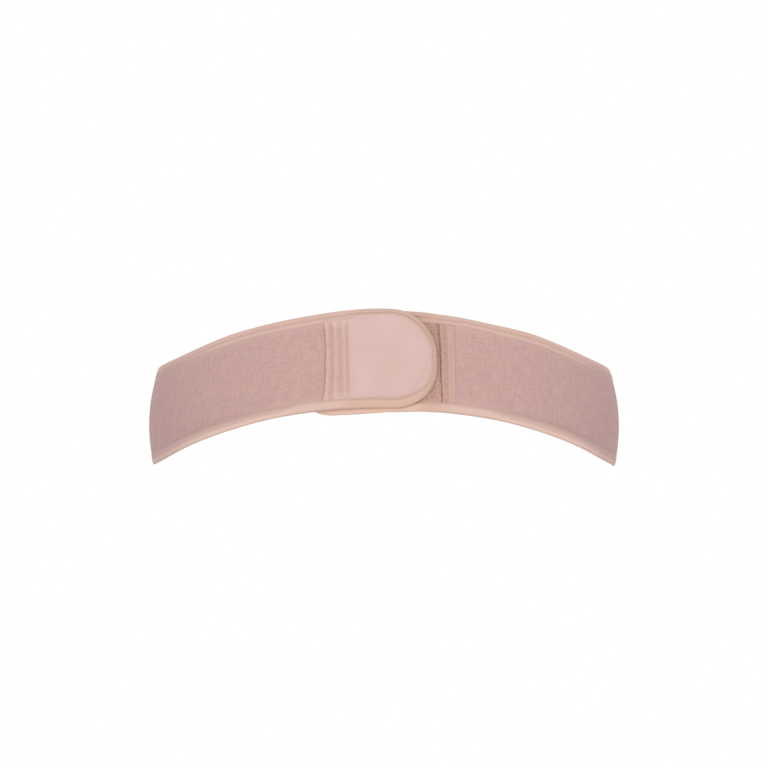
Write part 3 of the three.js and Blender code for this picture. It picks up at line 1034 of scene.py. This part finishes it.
def elastic_looks():
    look = Looks("elastic")
    weft = look.noise(1.6, 9)
    warp = look.noise(9, 1.5, layer=3.0)
    cloud = look.noise(22, 15, layer=7.0)
    tinge = look.noise(4, 6, layer=9.0)
    thread = look.times(look.plus(weft, warp), 0.5)
    look.ramp(thread, [(0.36, (199, 161, 154)), (0.5, (206, 169, 162)), (0.64, (212, 176, 168))])
    look.tint(cloud, (0.4, 0.7), to=(198, 162, 158), most=0.25)
    # Painted light near the tapes, against the shade they cast
    look.mix(look.times(look.mark("gathered"), 0.5), to=(216, 181, 172))
    # Its stretch and painted shade round the sides
    stretch_and_shade = look.mark("stretch")
    look.blend(stretch_and_shade, STRETCH_AND_SHADE_TINT, "MULTIPLY")
    strong = look.spread(stretch_and_shade, 0, 1, 0.2, 0.5)
    mauve = look.times(look.spread(tinge, 0.5, 0.66), strong)
    look.mix(mauve, to=(182, 150, 160))
    salmon = look.times(look.spread(tinge, 0.5, 0.34), strong)
    look.mix(salmon, to=(200, 156, 146))
    height = look.plus(look.times(look.weave(1.3, 1.1), 0.3), thread)
    return look.done(thread, height, roughness=(0.92, 0.78), depth=0.2)


def tape_looks():
    look = Looks("binding_tape", sheen=0.15)
    rib = look.wave(look.along, 0.75)
    fibre = look.noise(1.2, 2.5)
    cloud = look.noise(18, 9, layer=5.0)
    sewn = look.mark("sewn")
    hole = look.math("POWER", look.spread(look.wave(look.along, STITCH, "COSINE"), -1, 1), 2.0)
    values = {0: look.mark("red"), 1: look.mark("green"), 2: look.mark("blue")}
    look.colour = look.node("CombineColor", values).outputs[0]
    look.tint(cloud, (0.35, 0.7), to=(222, 190, 178), most=0.2)
    # Painted shade at the fold, along the stitches and in the needle holes
    look.mix(look.mark("fold"), to=(182, 142, 127))
    look.mix(look.times(sewn, 0.5), to=(190, 152, 137))
    look.mix(look.times(sewn, hole), to=(182, 143, 128))
    look.tint(fibre, GRAIN, to=(204, 169, 157), most=0.2)
    height = look.plus(look.times(rib, 0.15), fibre)
    return look.done(fibre, height, roughness=(0.85, 0.75), depth=0.18)


def tab_looks():
    look = Looks("tab_cloth", sheen=0.2)
    nap = look.noise(0.7, 0.9, detail=3.0)
    brush = look.noise(5, 1.3, layer=2.0)
    cloud = look.noise(24, 30, detail=1.0, layer=4.0)
    look.colour = seen(217, 187, 179)
    look.tint(cloud, (0.35, 0.65), to=(223, 191, 187))
    look.tint(brush, GRAIN, to=(212, 180, 172), most=0.3)
    # Painted shade on the face by the round end
    look.mix(look.times(look.mark("rim"), RIM_SHADE), to=SHADED_TAN)
    height = look.plus(nap, look.times(brush, 0.5))
    return look.done(nap, height, roughness=(0.88, 0.78), depth=0.12)


def pile_looks():
    look = Looks("loop_pile", sheen=0.15)
    nap = look.noise(1, 1.2, detail=4.0)
    cloud = look.noise(5, 9, layer=3.0)
    look.ramp(nap, [(0.32, (188, 147, 133)), (0.5, (212, 171, 157)), (0.68, (229, 190, 176))])
    look.tint(cloud, (0.35, 0.65), to=(196, 157, 144), most=0.5)
    # Darker towards the top: painted shade under the upper tape
    look.tint(look.across, (-5 * MM, 28 * MM), to=(150, 112, 98), most=0.22)
    return look.done(nap, nap, roughness=(0.98, 0.88), depth=0.3)


def hook_looks():
    look = Looks("hook_tape", sheen=0.0, specular=0.4)
    grain = look.noise(0.8, 0.8)
    look.colour = seen(200, 160, 146)
    look.mix(grain, to=(216, 180, 166))
    return look.done(grain, look.weave(1, 1), roughness=(0.6, 0.45), depth=0.1)


def join_looks(strip):
    look = Looks(strip.name + "_tape", sheen=0.12)
    shade, light_first, light_last = np.array(strip.colours)
    # The tones paint light and shade with the strip's colour: a painted shadow line at tone 0
    stops = []
    for row in strip.rows:
        share = (row["at"] - strip.first) / (strip.last - strip.first)
        light = light_first + (light_last - light_first) * share
        stops.append((share, shade + (light - shade) * row["tone"]))
    look.ramp(look.spread(look.along, MM * strip.first, MM * strip.last), stops)
    fibre = look.noise(0.6, 8)
    fleck = look.noise(0.8, 2.2, layer=6.0)
    to_end = look.math("ABSOLUTE", look.across)
    look.tint(fibre, (0.35, 0.65), to=(194, 154, 146), most=0.35)
    look.tint(fleck, (0.48, 0.66), to=(230, 197, 187), most=0.45)
    look.tint(look.across, (-25 * MM, 25 * MM), to=(150, 110, 98), most=strip.upper_shade)
    look.tint(to_end, (23 * MM, 29 * MM), to=(236, 204, 194), most=strip.end_light)
    height = look.plus(fibre, look.times(look.weave(0.9, 1), 0.25))
    return look.done(fibre, height, roughness=(0.9, 0.78), depth=0.2)


def thread_looks(name, dark, light):
    look = Looks(name, sheen=0.05, specular=0.35)
    fibre = look.noise(0.35, 0.5)
    look.colour = seen(*dark)
    look.tint(fibre, GRAIN, to=light)
    return look.done(fibre, fibre, roughness=(0.7, 0.55), depth=0.08)


# The belt


def add_band(tapes):
    shape, marks = band_shape(tapes["band_top"], tapes["band_bottom"])
    band = add_piece("band_cloth", shape, elastic_looks(), ["elastic_band"], marks)
    return band


def add_tab():
    shape, marks = tab_shape()
    tab = add_piece("tab_cloth", shape, tab_looks(), ["closure_tab"], marks)
    return tab


def add_landing():
    pile = pile_looks()
    landing = add_piece("landing_cloth", landing_shape(), pile, ["landing_panel"])
    loops = add_piece("landing_loops", landing_loops(), pile)
    return landing


def add_hook_patch():
    cloth = hook_looks()
    patch = add_piece("hook_patch_tape", hook_shape(), cloth, ["hook_patch"])
    hooks = add_piece("hook_patch_hooks", hook_rows(), cloth)


def add_join(strip, thread):
    shape, uv = strip.shape()
    join = add_piece(strip.name, shape, join_looks(strip), [strip.name + "_strip"], flat_uv=uv)
    sewn = add_piece(strip.name + "_stitches", strip.stitches(), thread)


def add_tape(name, tape, cloth, thread):
    shape, marks, uv = tape.shape()
    piece = add_piece(name + "_tape", shape, cloth, [name + "_binding"], marks, uv)
    sewn = add_piece(name + "_stitches", tape.stitches(), thread)
    reach = float(np.mean(tape.reach(np.linspace(0, tape.route.length, REACH_SAMPLES))))


def make_belt():
    tapes = make_tapes()
    band = add_band(tapes)
    tab = add_tab()
    landing = add_landing()
    add_hook_patch()

    pale_thread = thread_looks("pale_thread", *PALE_THREAD)
    add_join(TAB_JOIN, pale_thread)
    add_join(LANDING_JOIN, pale_thread)

    tape_cloth = tape_looks()
    beige_thread = thread_looks("beige_thread", *BEIGE_THREAD)
    for name, tape in tapes.items():
        add_tape(name, tape, tape_cloth, beige_thread)


# The studio

CAMERA_DISTANCE = 2.6
CAMERA_HEIGHT = -18 * MM
LENS = 153.6
FLOOR_LEVEL = -0.5
FLOOR_RADIUS = 1.4
FLOOR_SIDES = 96
PAPER_GRAIN = 40
PAPER_GREYS = (0.92, 0.95)
PAPER_ROUGHNESS = 0.9
KEY_PLACE = (0, -2.3, 0.9)
KEY_SIZE = 1.2
KEY_POWER = 17.0
KEY_COLOUR = (1.0, 0.95, 0.9)


def make_studio():
    scene = bpy.context.scene
    scene.view_settings.view_transform = "Standard"

    world = bpy.data.worlds.new("studio")
    scene.world = world
    world.use_nodes = True
    background = world.node_tree.nodes["Background"].inputs
    background["Color"].default_value = (1, 1, 1, 1)
    background["Strength"].default_value = 1.0

    key = bpy.data.lights.new("key", "AREA")
    key.size = KEY_SIZE
    key.energy = KEY_POWER
    key.color = KEY_COLOUR
    lamp = bpy.data.objects.new("key", key)
    lamp.location = KEY_PLACE
    aim = Vector((0, -HALF_DEPTH * MM, 0)) - Vector(KEY_PLACE)
    lamp.rotation_euler = aim.to_track_quat("-Z", "Y").to_euler()
    scene.collection.objects.link(lamp)

    bpy.ops.mesh.primitive_circle_add(vertices=FLOOR_SIDES, radius=FLOOR_RADIUS, fill_type="NGON",
                                      location=(0, 0, FLOOR_LEVEL))
    floor = bpy.context.object
    floor.name = "floor"
    paper = bpy.data.materials.new("floor_paper")
    paper.use_nodes = True
    surface = paper.node_tree.nodes["Principled BSDF"]
    grain = paper.node_tree.nodes.new("ShaderNodeTexNoise")
    grain.inputs["Scale"].default_value = PAPER_GRAIN
    tint = paper.node_tree.nodes.new("ShaderNodeValToRGB")
    for element, grey in zip(tint.color_ramp.elements, PAPER_GREYS):
        element.color = (grey, grey, grey, 1)
    paper.node_tree.links.new(grain.outputs[0], tint.inputs[0])
    paper.node_tree.links.new(tint.outputs[0], surface.inputs["Base Color"])
    surface.inputs["Roughness"].default_value = PAPER_ROUGHNESS
    floor.data.materials.append(paper)

    camera = bpy.data.objects.new("camera", bpy.data.cameras.new("camera"))
    camera.data.lens = LENS
    camera.location = (0, -CAMERA_DISTANCE, CAMERA_HEIGHT)
    camera.rotation_euler = (math.pi / 2, 0, 0)
    scene.collection.objects.link(camera)
    scene.camera = camera


make_belt()
make_studio()
